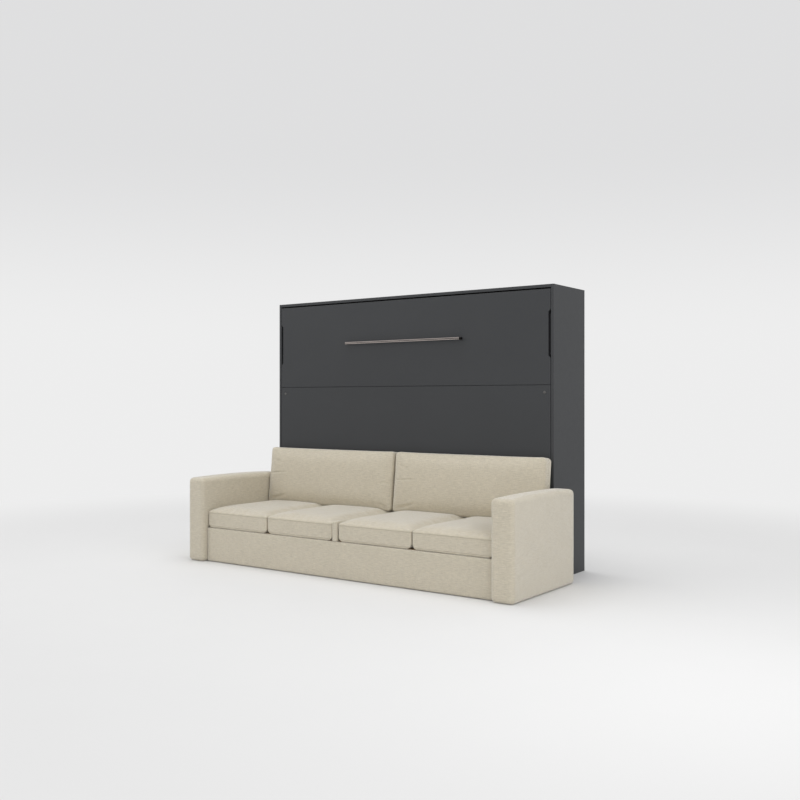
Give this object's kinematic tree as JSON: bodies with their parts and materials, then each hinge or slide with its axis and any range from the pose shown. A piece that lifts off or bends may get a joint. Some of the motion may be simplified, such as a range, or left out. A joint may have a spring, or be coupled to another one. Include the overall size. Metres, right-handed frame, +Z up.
{
  "type": "sideways wall bed with sofa",
  "caption": "Sideways wall bed in a shallow grey cabinet with bar handle, folding legs, gas struts, slatted base and mattress, and a beige upholstered sofa standing in front of it.",
  "frame": {"origin": "on the floor, at the middle of the whole object's width and depth", "axes": "+X to the right of someone who faces the front, +Y to the wall behind, +Z up"},
  "size_m": [2.42, 1.15, 1.725],
  "materials": {
    "grey_board": "matt grey laminate",
    "beige_fabric": "beige linen weave",
    "brushed_nickel": "brushed nickel",
    "black_steel": "black powder coat",
    "zinc_steel": "bright zinc plate",
    "slat_wood": "clear lacquered birch",
    "mattress_cover": "off-white knitted ticking",
    "strap_webbing": "black woven webbing",
    "nylon": "black nylon",
    "rod_steel": "hard chrome"
  },
  "bodies": {
    "cabinet": {"side_panel_left": "grey_board", "side_panel_right": "grey_board", "top_panel": "grey_board", "bottom_panel": "grey_board", "back_board_upper": "grey_board", "back_board_lower": "grey_board", "lower_apron": "grey_board", "wall_bracket_left": "zinc_steel", "wall_bracket_right": "zinc_steel", "pivot_plate_left": "black_steel", "pivot_plate_right": "black_steel", "strut_mount_left": "zinc_steel", "strut_mount_right": "zinc_steel", "sofa_arm_left": "beige_fabric", "sofa_arm_right": "beige_fabric", "sofa_base_front": "beige_fabric", "sofa_base_back": "beige_fabric", "seat_deck": "slat_wood", "seat_divider": "beige_fabric", "seat_cushion_1": "beige_fabric", "seat_cushion_2": "beige_fabric", "seat_cushion_3": "beige_fabric", "seat_cushion_4": "beige_fabric"},
    "bed": {"front_panel_upper": "grey_board", "front_panel_lower": "grey_board", "handle_bar": "brushed_nickel", "handle_foot_left": "brushed_nickel", "handle_foot_right": "brushed_nickel", "panel_bolt_left": "zinc_steel", "panel_bolt_right": "zinc_steel", "frame_board_lower": "grey_board", "frame_board_upper": "grey_board", "frame_end_left": "grey_board", "frame_end_right": "grey_board", "centre_rail": "black_steel", "slats_lower": "slat_wood", "slats_upper": "slat_wood", "mattress": "mattress_cover", "mattress_strap_left": "strap_webbing", "mattress_strap_right": "strap_webbing", "hinge_arm_left": "black_steel", "hinge_arm_right": "black_steel", "hinge_bush_left": "nylon", "hinge_bush_right": "nylon", "strut_bracket_left": "zinc_steel", "strut_bracket_right": "zinc_steel", "leg_pin_left": "zinc_steel", "leg_pin_right": "zinc_steel"},
    "folding_leg_left": {"leg_left": "black_steel"},
    "folding_leg_right": {"leg_right": "black_steel"},
    "leg_foot_bar_left": {"leg_extension_left": "zinc_steel", "leg_foot_left": "nylon"},
    "leg_foot_bar_right": {"leg_extension_right": "zinc_steel", "leg_foot_right": "nylon"},
    "gas_cylinder_left": {"strut_cylinder_left": "black_steel"},
    "gas_cylinder_right": {"strut_cylinder_right": "black_steel"},
    "gas_rod_left": {"strut_rod_left": "rod_steel"},
    "gas_rod_right": {"strut_rod_right": "rod_steel"},
    "back_cushions": {"back_cushion_left": "beige_fabric", "back_cushion_right": "beige_fabric"}
  },
  "joints": [
    {"name": "bed_fold", "type": "hinge", "parent": "cabinet", "child": "bed", "pos_m": [0, 0.255, 0.475], "axis": [1, 0, 0], "range_deg": [0, 90]},
    {"name": "leg_swing_left", "type": "hinge", "parent": "bed", "child": "folding_leg_left", "pos_m": [-1.0465, 0.187, 1.55], "axis": [-1, 0, 0], "range_deg": [0, 90]},
    {"name": "leg_swing_right", "type": "hinge", "parent": "bed", "child": "folding_leg_right", "pos_m": [1.0465, 0.187, 1.55], "axis": [-1, 0, 0], "range_deg": [0, 90]},
    {"name": "leg_extend_left", "type": "slide", "parent": "folding_leg_left", "child": "leg_foot_bar_left", "axis": [0, 0, -1], "range_m": [0, 0.1727]},
    {"name": "leg_extend_right", "type": "slide", "parent": "folding_leg_right", "child": "leg_foot_bar_right", "axis": [0, 0, -1], "range_m": [0, 0.1727]},
    {"name": "gas_cylinder_turn_left", "type": "hinge", "parent": "cabinet", "child": "gas_cylinder_left", "pos_m": [-1.0385, 0.475, 0.775], "axis": [1, 0, 0], "range_deg": [0, 12.65]},
    {"name": "gas_cylinder_turn_right", "type": "hinge", "parent": "cabinet", "child": "gas_cylinder_right", "pos_m": [1.0385, 0.475, 0.775], "axis": [1, 0, 0], "range_deg": [0, 12.65]},
    {"name": "gas_rod_slide_left", "type": "slide", "parent": "gas_cylinder_left", "child": "gas_rod_left", "axis": [0, -0.5084, -0.8611], "range_m": [-0.1404, 0]},
    {"name": "gas_rod_slide_right", "type": "slide", "parent": "gas_cylinder_right", "child": "gas_rod_right", "axis": [0, -0.5084, -0.8611], "range_m": [-0.1404, 0]},
    {"name": "back_cushions_move", "type": "hinge", "parent": "cabinet", "child": "back_cushions", "pos_m": [0, -0.5, -0.4292], "axis": [1, 0, 0], "range_deg": [0, 96.5]}
  ],
  "couplings": [
    {"joint": "gas_cylinder_turn_left", "follows": "bed_fold", "ratio": 0.14057},
    {"joint": "gas_cylinder_turn_right", "follows": "bed_fold", "ratio": 0.14057},
    {"joint": "gas_rod_slide_left", "follows": "bed_fold", "m_per_rad": -0.08937},
    {"joint": "gas_rod_slide_right", "follows": "bed_fold", "m_per_rad": -0.08937},
    {"joint": "back_cushions_move", "follows": "bed_fold", "ratio": 1.0722}
  ]
}
